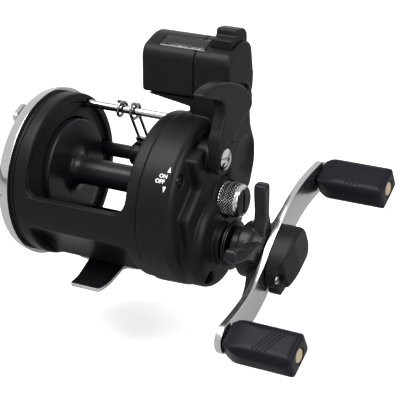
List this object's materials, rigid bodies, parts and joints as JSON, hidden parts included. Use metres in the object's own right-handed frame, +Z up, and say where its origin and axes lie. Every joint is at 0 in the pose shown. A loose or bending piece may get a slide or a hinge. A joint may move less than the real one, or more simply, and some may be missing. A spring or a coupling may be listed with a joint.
{
  "type": "line counter reel",
  "caption": "Conventional level-wind fishing reel with a depth counter on its right side plate, star drag, lever clutch and a double-knob crank.",
  "frame": {"origin": "middle of the rod seat, on the plane of the foot pads under the foot", "axes": "+X along the spool towards the handle, +Y along the rod towards its tip, +Z up"},
  "size_m": [0.1349, 0.089, 0.1002],
  "materials": {
    "graphite": "matte_plastic",
    "satin_black_metal": "painted_metal",
    "black_plastic": "gloss_plastic",
    "knob_rubber": "rubber",
    "knob_cap_plastic": "gloss_plastic",
    "chrome_trim": "chrome",
    "handle_metal": "brushed_steel",
    "steel": "brushed_steel",
    "brass": "brass",
    "drag_fibre": "matte_plastic",
    "white_nylon": "matte_plastic",
    "window_lens": "glass"
  },
  "bodies": {
    "housing": {"frame": "graphite", "foot": "satin_black_metal", "left_side_plate": "graphite", "plate_screw_1": "steel", "plate_screw_2": "steel", "plate_screw_3": "steel", "left_trim_ring": "chrome_trim", "spool_bearing_left": "steel", "spool_bearing_right": "steel", "gear_bridge_plate": "steel", "right_side_cover": "graphite", "cover_screw_1": "steel", "cover_screw_2": "steel", "cover_screw_3": "steel", "drive_bushing": "brass", "guide_rod": "chrome_trim", "level_wind_tube": "satin_black_metal", "counter_left_cover": "graphite", "counter_tray": "graphite", "counter_window": "window_lens"},
    "crank": {"drive_shaft": "steel", "ratchet_wheel": "steel", "main_gear": "brass", "drag_washer": "drag_fibre", "drag_pressure_plate": "steel", "star_spring_washer": "steel", "handle_blade": "handle_metal", "handle_nut": "steel", "nut_cover": "graphite", "nut_cover_screw": "steel"},
    "spool": {"spool": "satin_black_metal", "spool_shaft": "steel"},
    "pinion": {"pinion": "brass"},
    "wind_idler": {"idler_gear": "white_nylon"},
    "worm": {"worm_shaft": "steel", "worm_cog": "white_nylon"},
    "counter_lower": {"counter_idler_lower": "white_nylon"},
    "counter_middle": {"counter_idler_middle": "white_nylon"},
    "counter_upper": {"counter_idler_upper": "white_nylon"},
    "units": {"counter_shaft": "steel", "units_wheel": "white_nylon"},
    "tens": {"tens_wheel": "white_nylon"},
    "hundreds": {"hundreds_wheel": "white_nylon"},
    "upper_grip": {"upper_knob": "knob_rubber", "upper_knob_cap": "knob_cap_plastic"},
    "lower_grip": {"lower_knob": "knob_rubber", "lower_knob_cap": "knob_cap_plastic"},
    "star": {"star_drag": "satin_black_metal"},
    "cast_knob": {"cast_control_knob": "chrome_trim"},
    "clutch": {"clutch_lever": "graphite", "clutch_lever_screw": "chrome_trim", "clutch_cam": "steel"},
    "yoke": {"clutch_yoke": "white_nylon"},
    "pawl": {"ratchet_pawl": "steel"},
    "line_guide": {"guide_carriage": "satin_black_metal", "wire_guide": "chrome_trim", "level_wind_pawl": "steel", "pawl_cap": "satin_black_metal"},
    "reset": {"reset_button": "graphite"},
    "clicker": {"clicker_button": "black_plastic"}
  },
  "joints": [
    {"name": "handle_turn", "type": "hinge", "parent": "housing", "child": "crank", "pos_m": [0, -0.0056, 0.0213], "axis": [1, 0, 0], "continuous": true},
    {"name": "spool_spin", "type": "hinge", "parent": "housing", "child": "spool", "pos_m": [0, 0, 0.0365], "axis": [1, 0, 0], "continuous": true},
    {"name": "wind_idler_spin", "type": "hinge", "parent": "housing", "child": "wind_idler", "pos_m": [0, 0.01391, 0.03678], "axis": [1, 0, 0], "continuous": true},
    {"name": "worm_spin", "type": "hinge", "parent": "housing", "child": "worm", "pos_m": [0, 0.0246, 0.037], "axis": [1, 0, 0], "continuous": true},
    {"name": "counter_lower_spin", "type": "hinge", "parent": "housing", "child": "counter_lower", "pos_m": [0, 0.01624, 0.04596], "axis": [1, 0, 0], "continuous": true},
    {"name": "counter_middle_spin", "type": "hinge", "parent": "housing", "child": "counter_middle", "pos_m": [0, 0.00962, 0.05987], "axis": [1, 0, 0], "continuous": true},
    {"name": "counter_upper_spin", "type": "hinge", "parent": "housing", "child": "counter_upper", "pos_m": [0, 0.01169, 0.07123], "axis": [1, 0, 0], "continuous": true},
    {"name": "units_spin", "type": "hinge", "parent": "housing", "child": "units", "pos_m": [0, 0.01101, 0.08101], "axis": [1, 0, 0], "continuous": true},
    {"name": "tens_spin", "type": "hinge", "parent": "housing", "child": "tens", "pos_m": [0, 0.01101, 0.08101], "axis": [1, 0, 0], "continuous": true},
    {"name": "hundreds_spin", "type": "hinge", "parent": "housing", "child": "hundreds", "pos_m": [0, 0.01101, 0.08101], "axis": [1, 0, 0], "continuous": true},
    {"name": "upper_knob_spin", "type": "hinge", "parent": "crank", "child": "upper_grip", "pos_m": [0, 0.03129, 0.03897], "axis": [1, 0, 0], "continuous": true},
    {"name": "lower_knob_spin", "type": "hinge", "parent": "crank", "child": "lower_grip", "pos_m": [0, -0.04249, 0.00362], "axis": [1, 0, 0], "continuous": true},
    {"name": "star_turn", "type": "hinge", "parent": "crank", "child": "star", "pos_m": [0, -0.0056, 0.0213], "axis": [1, 0, 0], "range_deg": [-180, 180]},
    {"name": "cast_turn", "type": "hinge", "parent": "housing", "child": "cast_knob", "pos_m": [0, 0, 0.0365], "axis": [1, 0, 0], "range_deg": [-180, 180]},
    {"name": "clutch_turn", "type": "hinge", "parent": "housing", "child": "clutch", "pos_m": [0, -0.0076, 0.05448], "axis": [1, 0, 0], "range_deg": [0, 45]},
    {"name": "yoke_slide", "type": "slide", "parent": "housing", "child": "yoke", "axis": [1, 0, 0], "range_m": [0, 0.0025]},
    {"name": "pinion_slide", "type": "slide", "parent": "spool", "child": "pinion", "axis": [1, 0, 0], "range_m": [0, 0.0025]},
    {"name": "pawl_swing", "type": "hinge", "parent": "housing", "child": "pawl", "pos_m": [0, -0.01661, 0.0276], "axis": [1, 0, 0], "range_deg": [-12, 0]},
    {"name": "guide_slide", "type": "slide", "parent": "housing", "child": "line_guide", "axis": [1, 0, 0], "range_m": [-0.0105, 0.0173]},
    {"name": "reset_press", "type": "slide", "parent": "housing", "child": "reset", "axis": [0, 0, -1], "range_m": [0, 0.0015], "stiffness_N_per_m": 300, "springref_m": -0.0006},
    {"name": "clicker_slide", "type": "slide", "parent": "housing", "child": "clicker", "axis": [0, -0.8988, -0.4384], "range_m": [0, 0.0035]}
  ],
  "couplings": [
    {"joint": "spool_spin", "follows": "handle_turn", "ratio": -5.1111},
    {"joint": "wind_idler_spin", "follows": "handle_turn", "ratio": 1.7625},
    {"joint": "worm_spin", "follows": "handle_turn", "ratio": -3.0442},
    {"joint": "counter_lower_spin", "follows": "handle_turn", "ratio": 1.3953},
    {"joint": "counter_middle_spin", "follows": "handle_turn", "ratio": -1.6743},
    {"joint": "counter_upper_spin", "follows": "handle_turn", "ratio": 2.5759},
    {"joint": "units_spin", "follows": "handle_turn", "ratio": -2.2324},
    {"joint": "tens_spin", "follows": "handle_turn", "ratio": -0.22324},
    {"joint": "hundreds_spin", "follows": "handle_turn", "ratio": -0.022324},
    {"joint": "yoke_slide", "follows": "clutch_turn", "m_per_rad": 0.00318},
    {"joint": "pinion_slide", "follows": "clutch_turn", "m_per_rad": 0.00318}
  ]
}
